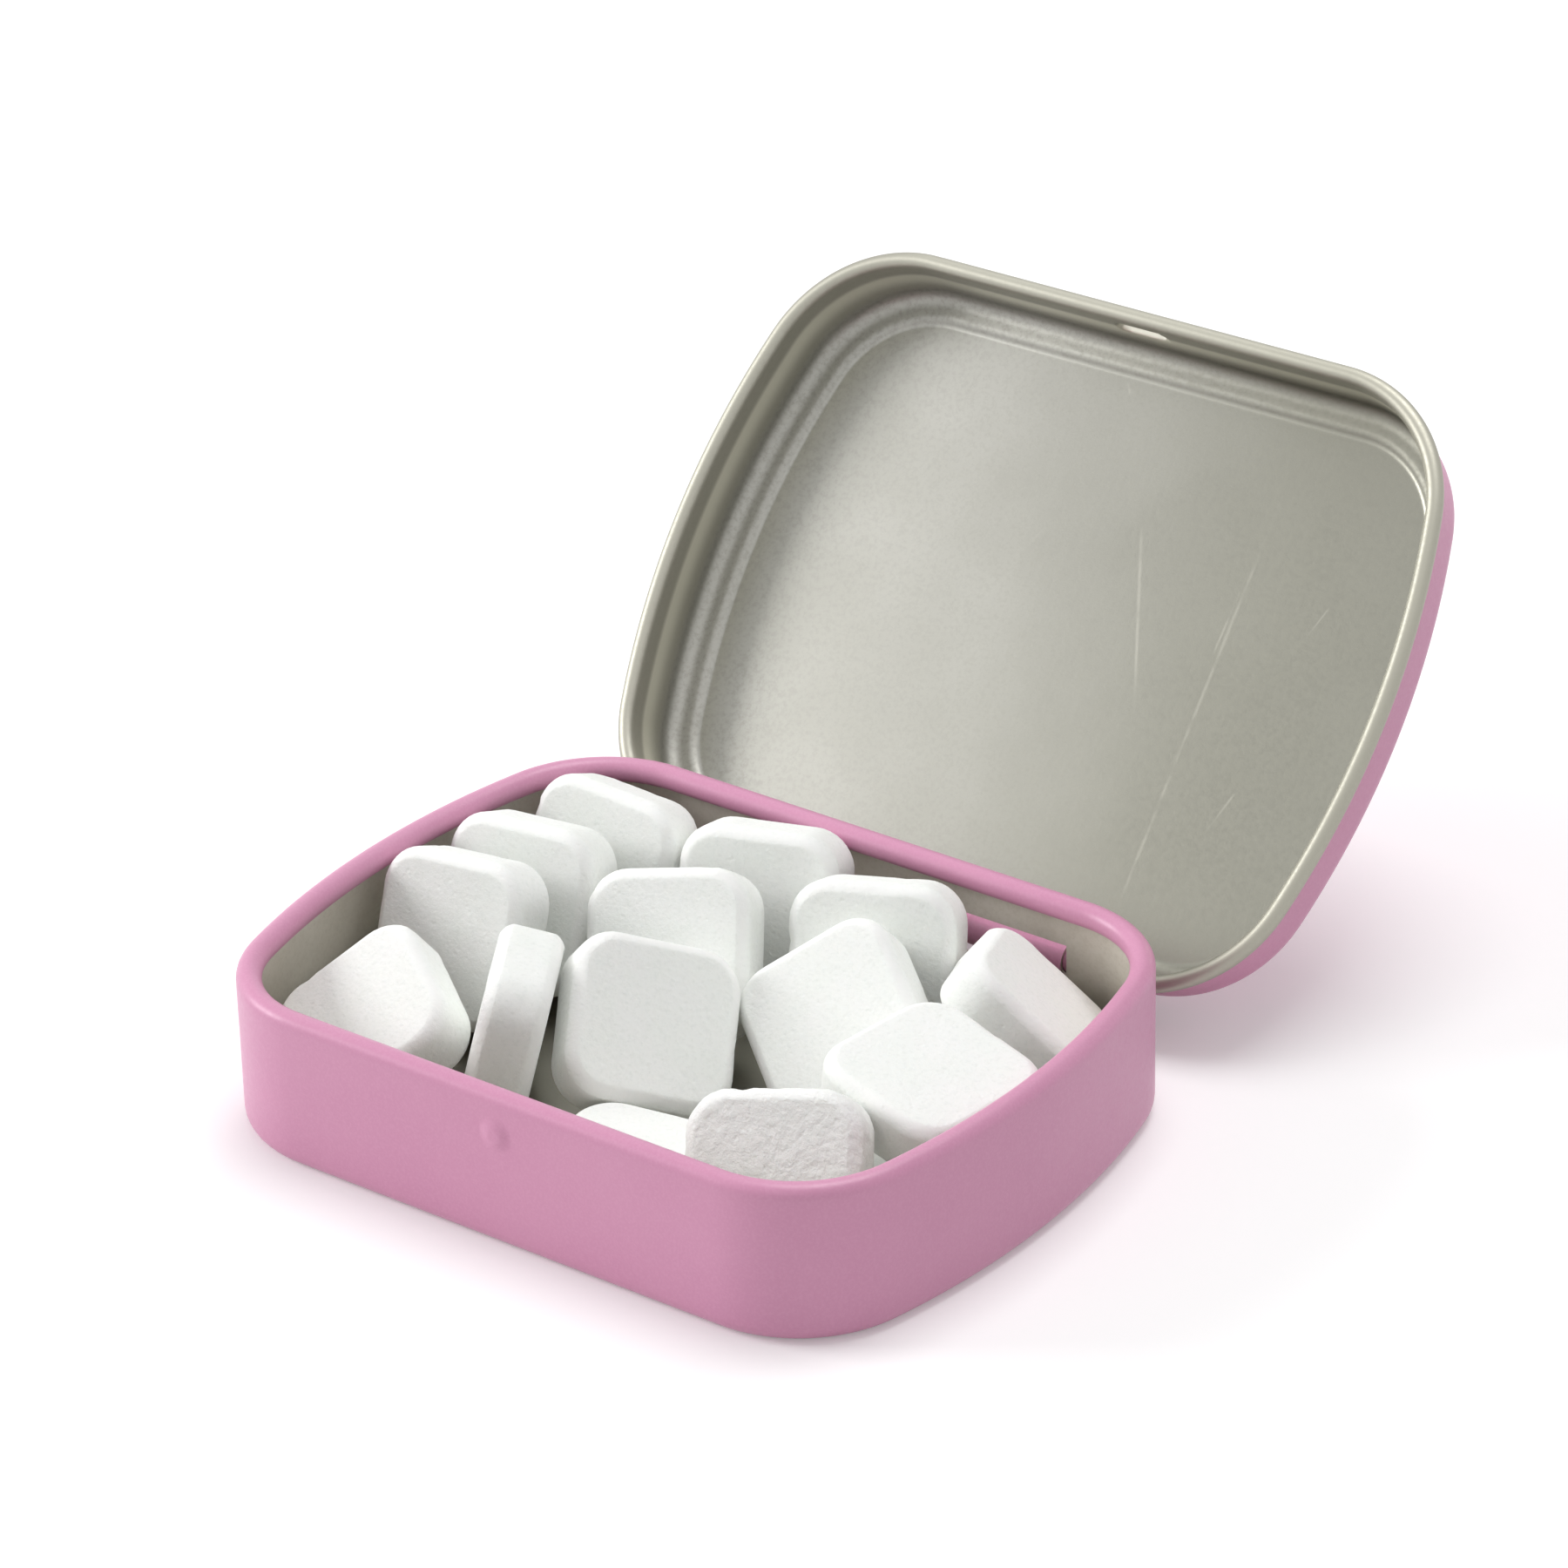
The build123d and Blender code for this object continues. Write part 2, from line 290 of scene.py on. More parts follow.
def finished(name, bm, materials, body, sharp=SHARP_BEND):
    """Object from a mesh: faces turned outwards, sharp bends marked, riding on its body."""
    loose = [vert for vert in bm.verts if not vert.link_faces]
    bmesh.ops.delete(bm, geom=loose, context="VERTS")
    bmesh.ops.recalc_face_normals(bm, faces=bm.faces)
    for edge in bm.edges:
        if len(edge.link_faces) == 2 and edge.calc_face_angle(0) > radians(sharp):
            edge.smooth = False
    mesh = bpy.data.meshes.new(name)
    bm.to_mesh(mesh)
    bm.free()
    obj = bpy.data.objects.new(name, mesh)
    bpy.context.scene.collection.objects.link(obj)
    for material in materials:
        mesh.materials.append(material)
    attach(obj, body)
    return obj


def smoothstep(value):
    """Soft rise from 0 to 1, held at both ends."""
    value = min(max(value, 0), 1)
    return value * value * (3 - 2 * value)


# Node trees

class Tree:
    """Short calls for a material's or the world's nodes."""

    def __init__(self, owner):
        owner.use_nodes = True
        self.tree = owner.node_tree
        self.tree.nodes.clear()

    def node(self, kind, **settings):
        made = self.tree.nodes.new("ShaderNode" + kind)
        for key, value in settings.items():
            setattr(made, key, value)
        return made

    def put(self, socket, value):
        if hasattr(value, "is_output"):
            self.tree.links.new(value, socket)
        else:
            socket.default_value = value

    def math(self, operation, *values):
        made = self.node("Math", operation=operation)
        for socket, value in zip(made.inputs, values):
            self.put(socket, value)
        return made.outputs[0]

    def vector(self, operation, *values):
        made = self.node("VectorMath", operation=operation)
        for socket, value in zip(made.inputs, values):
            self.put(socket, value)
        return made.outputs["Value" if operation in ("DOT_PRODUCT", "LENGTH") else "Vector"]

    def part(self, vector, axis):
        made = self.node("SeparateXYZ")
        self.put(made.inputs[0], vector)
        return made.outputs[axis]

    def noise(self, vector, scale, detail=3.0, roughness=0.55):
        made = self.node("TexNoise")
        self.put(made.inputs["Vector"], vector)
        for key, value in ("Scale", scale), ("Detail", detail), ("Roughness", roughness):
            made.inputs[key].default_value = value
        return made.outputs["Fac"]

    def cells(self, vector, scale):
        made = self.node("TexVoronoi")
        self.put(made.inputs["Vector"], vector)
        made.inputs["Scale"].default_value = scale
        return made.outputs["Distance"]

    def span(self, value, low, high, to_low=0.0, to_high=1.0):
        """The value's range low to high, brought to another and held there."""
        made = self.node("MapRange", interpolation_type="SMOOTHSTEP")
        for socket, part in zip(made.inputs, (value, low, high, to_low, to_high)):
            self.put(socket, part)
        return made.outputs["Result"]

    def over(self, value, stops, *shares):
        """The same for a length, between two stops in millimetres."""
        return self.span(value, *(MM * stop for stop in stops), *shares)

    def mix(self, share, one, two):
        """Mix of two colours. A Mix node's colour sockets are its inputs 6 and 7 and output 2."""
        made = self.node("Mix", data_type="RGBA")
        self.put(made.inputs["Factor"], share)
        self.put(made.inputs[6], one)
        self.put(made.inputs[7], two)
        return made.outputs[2]

    def bump(self, height, distance, strength, normal=None):
        made = self.node("Bump")
        made.inputs["Distance"].default_value = distance
        made.inputs["Strength"].default_value = strength
        self.put(made.inputs["Height"], height)
        if normal:
            self.put(made.inputs["Normal"], normal)
        return made.outputs["Normal"]


def colour(red, green, blue):
    """Linear colour from the 0 to 255 values of a screen."""
    return tuple(
        (part / 255 / 12.92 if part < 11 else ((part / 255 + 0.055) / 1.055) ** 2.4)
        for part in (red, green, blue)
    ) + (1.0,)


WHITE = 1.0, 1.0, 1.0, 1.0

# Enamel outside the tin: two tones that cloud into each other, and its fine pale specks
ENAMEL_TONES = colour(213, 147, 180), colour(216, 151, 183)
ENAMEL_SPECK = colour(227, 166, 197)

# Bare tinplate: two tones that cloud into each other, and the tone of its fine mottle. The base's
# are painted pale, as light standing in for bright reflections on its wall.
BASE_PAINTED_LIGHT_TONES = colour(240, 234, 220), colour(245, 240, 228), colour(228, 222, 207)
# Darker tone of the base's floor: painted shade that offsets the lamp's reflection there
BASE_FLOOR_PAINTED_SHADE = colour(152, 149, 139)
LID_TIN_TONES = colour(163, 162, 155), colour(169, 168, 162), colour(146, 145, 138)
# Painted shade: the lid's tinplate darkens towards this tone to the right
LID_PAINTED_SHADE_TONE = colour(136, 135, 124)
# Painted light: the lid's wall is paler, and a pale band low on its skirt stands in for reflected
# light
LID_WALL_PAINTED_LIGHT = colour(174, 172, 160)
LID_BAND_PAINTED_LIGHT = colour(226, 224, 210)
SCRATCH_TONE = colour(208, 205, 194)

# Mints
MINT_TONES = colour(251, 254, 249), colour(254, 255, 252)
MINT_SPECK = colour(228, 233, 228)
# Painted highlight along the mints' rounded edges
MINT_RIDGE_HIGHLIGHT = colour(255, 255, 253)

# Scales of the noises that colour and roughen the surfaces, in cells per metre
ENAMEL_CLOUD, ENAMEL_GRAIN, ENAMEL_SPECKS = 90, 1900, 5200
METAL_CLOUD, METAL_ROLLING, METAL_MATTE_CLOUD, SCRATCH_BREAKS = 60, 2400, 300, 260
MINT_CLOUD, MINT_PITS, MINT_CRUMBS = 240, 1500, 1700
GRAIN = 2600
FLOOR_CLOUD = 40

# Heights of the finest relief, in metres
ENAMEL_RELIEF = 0.00001
METAL_RELIEF = 0.000012
MINT_RELIEF = 0.00007
CRUMB_RELIEF = 0.0002

# Part of a cloud's noise over which one tone passes into the other
CLOUD_SPAN = 0.3, 0.7

# Places on the tin, in millimetres, between which a tone or the roughness changes. Those of
# the lid are levels of the closed lid, but for the stretch along X over which painted shade
# darkens it.
BASE_WALL_FOOT = 0.8, 6.0
LID_SHADE_STRETCH = -16, 18
CURL_TOP = 8.6, 9.2
BAND_FOOT = 8.9, 9.5
BAND_TOP = 9.8, 11.6
WALL_TOP = 11.4, 12.4
STEP_FOOT = 12.5, 13.0
STEP_TOP = 13.6, 13.69
PANEL_FOOT = 13.0, 13.3


def surface(name):
    """New material with its tree and shader."""
    material = bpy.data.materials.new(name)
    tree = Tree(material)
    shader = tree.node("BsdfPrincipled")
    output = tree.node("OutputMaterial")
    tree.tree.links.new(shader.outputs[0], output.inputs[0])
    return material, tree, shader


def along_lid(tree):
    """Place on the lid as if it were closed, so that marks follow its panel."""
    place = tree.node("TexCoord").outputs["Object"]
    moved = tree.vector("SUBTRACT", place, (0, MM * HINGE_Y, MM * HINGE_LEVEL))
    turned = tree.node("VectorRotate", rotation_type="X_AXIS")
    tree.put(turned.inputs["Vector"], moved)
    turned.inputs["Angle"].default_value = radians(OPEN_ANGLE)
    return tree.vector("ADD", turned.outputs[0], (0, MM * HINGE_Y, MM * HINGE_LEVEL))


def make_enamel():
    """Pink enamel, satin, with faint clouds and fine pale specks."""
    material, tree, shader = surface("pink_enamel")
    place = tree.node("TexCoord").outputs["Object"]
    cloud = tree.noise(place, ENAMEL_CLOUD, 4.0)
    grain = tree.noise(place, ENAMEL_GRAIN, 2.0)
    speck = tree.noise(place, ENAMEL_SPECKS, 1.0)
    tone = tree.mix(tree.span(cloud, *CLOUD_SPAN), *ENAMEL_TONES)
    patchy = tree.mix(tree.span(speck, 0.35, 0.75, 0.0, 0.28), tone, ENAMEL_SPECK)
    tree.put(shader.inputs["Base Color"], patchy)
    tree.put(shader.inputs["Roughness"], tree.span(grain, 0.25, 0.75, 0.32, 0.42))
    shader.inputs["Specular IOR Level"].default_value = 0.5
    tree.put(shader.inputs["Normal"], tree.bump(grain, ENAMEL_RELIEF, 0.4))
    return material


def scratch(tree, place, start, end, width, seed):
    """Fine uneven line between two places on the panel, as a share from 0 to 1."""
    length = hypot(end[0] - start[0], end[1] - start[1])
    along = ((end[0] - start[0]) / length, (end[1] - start[1]) / length, 0)
    across = (-along[1], along[0], 0)
    middle = (MM * (start[0] + end[0]) / 2, MM * (start[1] + end[1]) / 2, 0)
    offset = tree.vector("SUBTRACT", place, middle)
    moved = tree.vector("ADD", offset, (seed, seed, seed))
    uneven = tree.noise(moved, SCRATCH_BREAKS, 2.0)
    far = tree.math("ABSOLUTE", tree.vector("DOT_PRODUCT", offset, across))
    reach = tree.math("ABSOLUTE", tree.vector("DOT_PRODUCT", offset, along))
    line = tree.over(far, (0.0, width), 1.0, 0.0)
    ends = tree.over(reach, (length * 0.35, length * 0.5), 1.0, 0.0)
    broken = tree.span(uneven, 0.38, 0.6, 0.1, 1.0)
    return tree.math("MULTIPLY", tree.math("MULTIPLY", line, ends), broken)


# One row per scratch on the panel: its two ends, its width and a number for its unevenness
SCRATCHES = [
    ((13.5, -15.5), (13.4, 18.5), 0.2, 0.3),
    ((13.2, -9.0), (13.0, -2.0), 0.14, 2.0),
    ((3.3, -10.2), (9.0, 4.4), 0.2, 0.7),
    ((18.9, 7.0), (17.8, 10.5), 0.14, 1.1),
    ((-2.2, -19.9), (-1.6, -19.0), 0.14, 1.7),
    ((-11.0, -14.0), (-10.0, -12.8), 0.12, 2.3),
    ((-6.0, -4.0), (-4.2, -7.5), 0.08, 3.1),
    ((20.5, -8.0), (19.0, -3.5), 0.1, 3.7),
]


def rolled_metal(tree, place, low, high, mottle):
    """Tone, roughness and height of bare rolled tinplate."""
    drawn = tree.vector("MULTIPLY", place, (1, 0.12, 1))
    cloud = tree.noise(place, METAL_CLOUD, 4.0)
    grain = tree.noise(place, GRAIN, 3.0, 0.7)
    rolled = tree.noise(drawn, METAL_ROLLING, 2.0)
    tone = tree.mix(tree.span(cloud, *CLOUD_SPAN), low, high)
    mottled = tree.mix(tree.span(grain, 0.4, 0.7, 0.0, 0.5), tone, mottle)
    clouded = tree.span(cloud, *CLOUD_SPAN, 0.29, 0.32)
    rough = tree.math("ADD", clouded, tree.span(grain, 0.3, 0.7, 0, 0.07))
    grained = tree.math("MULTIPLY", grain, 0.6)
    height = tree.math("ADD", grained, tree.math("MULTIPLY", rolled, 0.4))
    return mottled, rough, height


def finish_metal(tree, shader, tone, rough, height):
    """Give a metal's shader its tone, roughness and fine relief."""
    tree.put(shader.inputs["Base Color"], tone)
    tree.put(shader.inputs["Roughness"], rough)
    shader.inputs["Metallic"].default_value = 1.0
    tree.put(shader.inputs["Normal"], tree.bump(height, METAL_RELIEF, 0.5))


def make_base_tin():
    """Tinplate with a pale, mostly matte wall painted as light in place of its reflections, and a
    darker floor tone as painted shade.
    """
    material, tree, shader = surface("base_tinplate")
    place = tree.node("TexCoord").outputs["Object"]
    tone, rough, height = rolled_metal(tree, place, *BASE_PAINTED_LIGHT_TONES)
    up_wall = tree.over(tree.part(place, "Z"), BASE_WALL_FOOT)
    # Painted shade: the floor takes the darker tone, the wall the pale painted light
    tone = tree.mix(up_wall, BASE_FLOOR_PAINTED_SHADE, tone)
    finish_metal(tree, shader, tone, rough, height)
    # The wall is made mostly matte in patches, so that its pale tone reads as painted light
    patchy = tree.span(tree.noise(place, METAL_MATTE_CLOUD, 3.0), *CLOUD_SPAN, 0.75, 0.9)
    metal_share = tree.math("SUBTRACT", 1.0, tree.math("MULTIPLY", up_wall, patchy))
    tree.put(shader.inputs["Metallic"], metal_share)
    return material


def make_lid_tin():
    """Tinplate with painted shade that darkens it to the right, a wall and band painted paler as
    light, and a scratched panel.
    """
    material, tree, shader = surface("lid_tinplate")
    place = along_lid(tree)
    tone, rough, height = rolled_metal(tree, place, *LID_TIN_TONES)
    x, z = (tree.part(place, axis) for axis in "XZ")
    # Painted shade, darker to the right along X
    tone = tree.mix(tree.over(x, LID_SHADE_STRETCH, 0.0, 0.8), tone, LID_PAINTED_SHADE_TONE)
    # Painted light: paler wall below its top, and a pale band on the skirt
    tone = tree.mix(tree.over(z, WALL_TOP, 0.85, 0.0), tone, LID_WALL_PAINTED_LIGHT)
    band = tree.math("MULTIPLY", tree.over(z, BAND_FOOT), tree.over(z, BAND_TOP, 1.0, 0.0))
    tone = tree.mix(band, tone, LID_BAND_PAINTED_LIGHT)
    marks = 0.0
    for start, end, width, seed in SCRATCHES:
        marks = tree.math("MAXIMUM", marks, scratch(tree, place, start, end, width, seed))
    marks = tree.math("MULTIPLY", marks, tree.over(z, PANEL_FOOT))
    tone = tree.mix(tree.math("MULTIPLY", marks, 0.12), tone, SCRATCH_TONE)
    rough = tree.math("ADD", rough, tree.math("MULTIPLY", marks, 0.1))
    height = tree.math("SUBTRACT", height, tree.math("MULTIPLY", marks, 0.06))
    step = tree.math("MULTIPLY", tree.over(z, STEP_FOOT), tree.over(z, STEP_TOP, 1.0, 0.0))
    worked = tree.math("MAXIMUM", tree.over(z, CURL_TOP, 1.0, 0.0), step)
    rough = tree.math("ADD", rough, tree.math("MULTIPLY", worked, 0.16))
    finish_metal(tree, shader, tone, rough, height)
    return material


def make_mint_stuff(name, coarse):
    """Chalky white of a pressed tablet, with a painted highlight along its rounded edges."""
    material, tree, shader = surface(name)
    place = tree.node("TexCoord").outputs["Object"]
    cloud = tree.noise(place, MINT_CLOUD, 3.0)
    grain = tree.noise(place, GRAIN, 3.0, 0.7)
    pits = tree.cells(place, MINT_PITS)
    tone = tree.mix(tree.span(cloud, *CLOUD_SPAN), *MINT_TONES)
    speckled = tree.mix(tree.span(grain, 0.45, 0.75, 0.0, 0.35), tone, MINT_SPECK)
    # Painted highlight, whiter along the rounded edges
    ridge_highlight = tree.node("Attribute", attribute_name="ridge_highlight").outputs["Fac"]
    highlighted = tree.mix(tree.math("MULTIPLY", ridge_highlight, 0.8), speckled, MINT_RIDGE_HIGHLIGHT)
    tree.put(shader.inputs["Base Color"], highlighted)
    tree.put(shader.inputs["Roughness"], tree.span(grain, 0.2, 0.8, 0.78, 0.95))
    shader.inputs["Specular IOR Level"].default_value = 0.3
    shader.inputs["Subsurface Weight"].default_value = 0.25
    shader.inputs["Subsurface Radius"].default_value = (1.0, 0.95, 0.9)
    shader.inputs["Subsurface Scale"].default_value = 0.0008
    height = tree.math("ADD", grain, tree.math("MULTIPLY", tree.span(pits, 0.0, 0.35), 0.4))
    normal = tree.bump(height, MINT_RELIEF, 0.8)
    if coarse:
        crumbs = tree.noise(place, MINT_CRUMBS, 4.0, 0.7)
        normal = tree.bump(crumbs, CRUMB_RELIEF, 0.6, normal)
    tree.put(shader.inputs["Normal"], normal)
    return material


enamel = make_enamel()
base_tin = make_base_tin()
lid_tin = make_lid_tin()
mint_stuff = make_mint_stuff("mint_tablet", False)
crumbly_mint = make_mint_stuff("crumbly_mint", True)


# Base

# The front has fine steps at the latch, and the back has a place at each window's edge.
RIGHT_FRONT = joined(0, LATCH_REACH, CORNER_X, pitch=(LATCH_PITCH, FRONT_PITCH))
FRONT = RIGHT_FRONT + [-x for x in reversed(RIGHT_FRONT) if x > 0]
NEAR, FAR = HINGE_X - WINDOW_WIDTH / 2, HINGE_X + WINDOW_WIDTH / 2
BACK = joined(CORNER_X, FAR, NEAR, -NEAR, -FAR, -CORNER_X, pitch=[PLAIN_PITCH] * 5)
PLACES = outline(FRONT, BACK)


def in_window(i):
    """Whether the stretch after place i lies in front of a hinge tab."""
    x, y, _, out_y = PLACES[i]
    after = PLACES[(i + 1) % len(PLACES)][0]
    middle = abs((x + after) / 2)
    return y > 0 and out_y == 1 and abs(middle - HINGE_X) < WINDOW_WIDTH / 2


def bump(x, z):
    """How far the latch bump stands out of the front wall."""
    share = hypot(x, z - BUMP_LEVEL) / BUMP_RADIUS
    return BUMP_PROUD * smoothstep(BUMP_FADE * (1 - share)) if share < 1 else 0


def make_base():
    """Tray of sheet: floor, wall with two windows, and a rim that rolls inwards."""
    window = [HINGE_LEVEL + side * (ROLL_OUTER + WINDOW_CLEARANCE) for side in (-1, 1)]
    bend = BASE_FLOOR_RADIUS
    top = BASE_HEIGHT - BASE_RIM_RADIUS
    behind_tab = spread(window[0] + WALL_ROW_PITCH, window[1] - WALL_ROW_PITCH / 2, WALL_ROW_PITCH)
    beside_bump = spread(window[1], BUMP_TOP, BUMP_ROW_PITCH)
    stops = [BASE_LOW_ROW, window[0], *behind_tab, *beside_bump, BUMP_TOP, top]
    moves = [
        (FLOOR_MARGIN, 0, even(2)),
        (bend - SHEET / 2, -90, even(8)),
        (top - bend, 0, levels(bend, stops)),
        (BASE_RIM_RADIUS - SHEET / 2, -270, even(ROUND_STEPS)),
    ]
    start = -BASE_BACK + bend + FLOOR_MARGIN, SHEET / 2
    left, right = sheet_rows(start, 180, moves)
    rows = []
    for j, (one, two) in enumerate(zip(left, left[1:])):
        on_wall = one[0] < -BASE_BACK + TOLERANCE
        if on_wall and window[0] < (one[1] + two[1]) / 2 < window[1]:
            rows.append(j)
    bm = bmesh.new()
    grids = [swept(PLACES, profile, bump) for profile in (left, right)]
    add_sheet(bm, *grids, lambda i, j: j in rows and in_window(i), True, (0, 1, 1))
    return finished("tin_base", bm, (enamel, base_tin), "filled_base")


def add_rod(bm, x, length, radius):
    """Rod along X at the hinge, with a small chamfer at its ends."""
    rings = []
    for side, inset in ((-1, BAR_CHAMFER), (-1, 0), (1, 0), (1, BAR_CHAMFER)):
        size = radius - inset
        across = x + side * (length / 2 - (BAR_CHAMFER if inset == 0 else 0))
        ring = []
        for step in range(ROD_STEPS):
            angle = 2 * pi * step / ROD_STEPS
            y, z = HINGE_Y + size * cos(angle), HINGE_LEVEL + size * sin(angle)
            ring.append(bm.verts.new((MM * across, MM * y, MM * z)))
        rings.append(ring)
    add_rings(bm, rings, False)


def make_bars():
    """Two hinge bars, which stand across the windows of the back wall."""
    bm = bmesh.new()
    for side in (-1, 1):
        add_rod(bm, side * HINGE_X, WINDOW_WIDTH + 2 * BAR_SEAT, BAR_RADIUS)
    return finished("hinge_bars", bm, (enamel,), "filled_base")


# Lid, built closed and then turned open about the hinge

OPENING = (
    Matrix.Translation((0, MM * HINGE_Y, MM * HINGE_LEVEL))
    @ Matrix.Rotation(-radians(OPEN_ANGLE), 4, "X")
    @ Matrix.Translation((0, -MM * HINGE_Y, -MM * HINGE_LEVEL))
)


def pocket(x, z):
    """How far the latch pocket stands out of the front of the skirt."""
    flat = (POCKET_WIDTH - POCKET_HEIGHT) / 2
    inside = POCKET_HEIGHT / 2 - hypot(max(abs(x) - flat, 0), z - POCKET_LEVEL)
    on_skirt = LID_RIM_LEVEL < z < POCKET_TOP
    return POCKET_PROUD * smoothstep(inside / POCKET_SLOPE) if on_skirt else 0


def make_lid():
    """Cover of sheet: panel, step, ledge, shoulder, skirt, and a rim that rolls outwards."""
    drop = 2 * LID_STEP_RADIUS * (1 - cos(radians(LID_STEP_TURN)))
    step = 2 * LID_STEP_RADIUS * sin(radians(LID_STEP_TURN))
    top = LID_RIM_LEVEL + LID_HEIGHT
    panel_inset = LID_REACH + LID_SHOULDER + LID_LEDGE + step + LID_LAND
    skirt_top = top - drop - LID_SHOULDER
    gap_top = LID_RIM_LEVEL + RIM_RADIUS
    beside_pocket = [gap_top + POCKET_ROW_PITCH * row for row in range(POCKET_ROWS, 0, -1)]
    stops = [*SKIRT_HIGH_ROWS, BUMP_TOP, *beside_pocket, gap_top, SKIRT_LOW_ROW, LID_RIM_LEVEL]
    moves = [
        (LID_LAND, 0, even(3)),
        (LID_STEP_RADIUS, LID_STEP_TURN, even(6)),
        (LID_STEP_RADIUS, -LID_STEP_TURN, even(6)),
        (LID_LEDGE, 0, even(3)),
        (LID_SHOULDER - SHEET / 2, 90, even(9)),
        (skirt_top - LID_RIM_LEVEL, 0, levels(skirt_top, stops)),
        (RIM_RADIUS - SHEET / 2, -270, even(ROUND_STEPS)),
    ]
    left, right = sheet_rows((-HALF_DEPTH + panel_inset, top - SHEET / 2), 180, moves)
    above_rim = sum(len(shares) for _, _, shares in moves[:-1])
    first = min(j for j in range(above_rim) if left[j][1] < gap_top + TOLERANCE)
    bm = bmesh.new()
    grids = [swept(PLACES, profile, pocket) for profile in (left, right)]
    add_sheet(bm, *grids, lambda i, j: j >= first and in_window(i), True, (1, 0, 1))
    add_tabs(bm)
    bm.transform(OPENING)
    return finished("tin_lid", bm, (enamel, lid_tin), "hinged_lid")


def add_tabs(bm):
    """Two tabs that leave the skirt and roll round the bars."""
    moves = [
        (TAB_TOP - ROLL_MIDDLE - TAB_NECK, 0, even(3)),
        (TAB_NECK, 90, even(6)),
        (ROLL_MIDDLE, -TAB_TURN, even(30)),
    ]
    profiles = sheet_rows((HINGE_Y - TAB_NECK, HINGE_LEVEL + TAB_TOP), 270, moves)
    for side in (-1, 1):
        shares = -1, -0.97, 0, 0.97, 1
        across = [side * HINGE_X + share * TAB_WIDTH / 2 for share in shares]
        grids = [[[(x, y, z) for y, z in profile] for x in across] for profile in profiles]
        add_sheet(bm, *grids, lambda i, j: False, False, (0, 1, 1))


# Mints

def mint_frame(node):
    """Place of a mint from its solid: middle, two edge directions and the face direction."""
    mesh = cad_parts[node].data
    areas = {}
    for polygon in mesh.polygons:
        key = tuple(round(part, 3) for part in polygon.normal)
        areas[key] = areas.get(key, 0) + polygon.area
    largest = [Vector(key).normalized() for key in sorted(areas, key=lambda key: -areas[key])]
    face = largest[0] if largest[0].z > 0 else -largest[0]
    side = next(normal for normal in largest if abs(normal.dot(face)) < 0.02)
    side = (side - side.dot(face) * face).normalized()
    axes = side, face.cross(side), face
    middle = Vector()
    for axis in axes:
        reach = [axis.dot(vert.co) for vert in mesh.vertices]
        middle += axis * (max(reach) + min(reach)) / 2
    return middle, axes


# Rings of a mint's mesh: shares of its face, then steps round its edge and its outline
FACE_SHARES = 0.02, 0.14, 0.28, 0.42, 0.56, 0.7, 0.82, 0.91, 0.97
EDGE_STEPS = 12
MINT_CORNER_STEPS = 9
MINT_SIDE_STEPS = 8

# Depths in millimetres of a mint's waves, grain and chips, and of a crumbly mint's hollows
WAVE_DEPTH = 0.04
GRAIN_DEPTH = 0.015
CHIP_DEPTH = 0.5
HOLLOW_DEPTH = 0.1

# Chips lie round this inset from the edge, within this reach
CHIP_INSET = 0.3
CHIP_REACH = 0.9


def mint_rings():
    """Rings of a tablet from the middle of one face to that of the other: (share, inset, z)."""
    half = MINT_THICKNESS / 2
    rings = [(share, MINT_EDGE, half) for share in FACE_SHARES]
    for step in range(EDGE_STEPS + 1):
        angle = radians(90 * step / EDGE_STEPS)
        inset, drop = (
            MINT_EDGE * (1 - part**MINT_EDGE_FLATNESS) for part in (sin(angle), cos(angle))
        )
        rings.append((1, inset, half - drop))
    rings += [(1, 0, (half - MINT_EDGE) * share) for share in (0.66, 0.33)]
    return rings + [(1, 0, 0)] + [(share, inset, -z) for share, inset, z in reversed(rings)]


def mint_outline():
    """Places round a rounded square: (x, y, out_x, out_y)."""
    flat = MINT_SIDE / 2 - MINT_CORNER
    places = []
    for quarter in range(4):
        start = quarter * pi / 2
        east = flat if cos(start + pi / 4) > 0 else -flat
        north = flat if sin(start + pi / 4) > 0 else -flat
        for step in range(MINT_CORNER_STEPS + 1):
            angle = start + pi / 2 * step / MINT_CORNER_STEPS
            out_x, out_y = cos(angle), sin(angle)
            places.append((east + MINT_CORNER * out_x, north + MINT_CORNER * out_y, out_x, out_y))
        last_x, last_y, *_ = places[-1]
        out_x, out_y = cos(start + pi / 2), sin(start + pi / 2)
        for step in range(1, MINT_SIDE_STEPS):
            move = 2 * flat * step / MINT_SIDE_STEPS
            places.append((last_x - move * out_y, last_y + move * out_x, out_x, out_y))
    return places


def worn(point, seed, near_edge):
    """How far a mint's chalky skin lies under its full size, in millimetres."""
    place = Vector(point) + Vector((seed * 31.7, seed * 17.3, seed * 7.9))
    waves = 0.5 + 0.5 * noise.noise(place * 0.25)
    grain = 0.5 + 0.5 * noise.noise(place * 2.2)
    chips = max(0, noise.noise(place * 0.8 + Vector((5, 9, 2))) - 0.35)
    return WAVE_DEPTH * waves + GRAIN_DEPTH * grain + near_edge * CHIP_DEPTH * chips


def crumble(bm):
    """Press hollows between the crumbs of a rough mint into its mesh."""
    bmesh.ops.subdivide_edges(bm, edges=bm.edges, cuts=2, use_grid_fill=True)
    bm.normal_update()
    depths = []
    for vert in bm.verts:
        place = vert.co / MM
        crumbs = abs(noise.noise(place * 1.5)) + 0.5 * abs(noise.noise(place * 3.1))
        depths.append((vert, vert.normal * MM * HOLLOW_DEPTH * max(0, 0.45 - crumbs)))
    for vert, depth in depths:
        vert.co -= depth


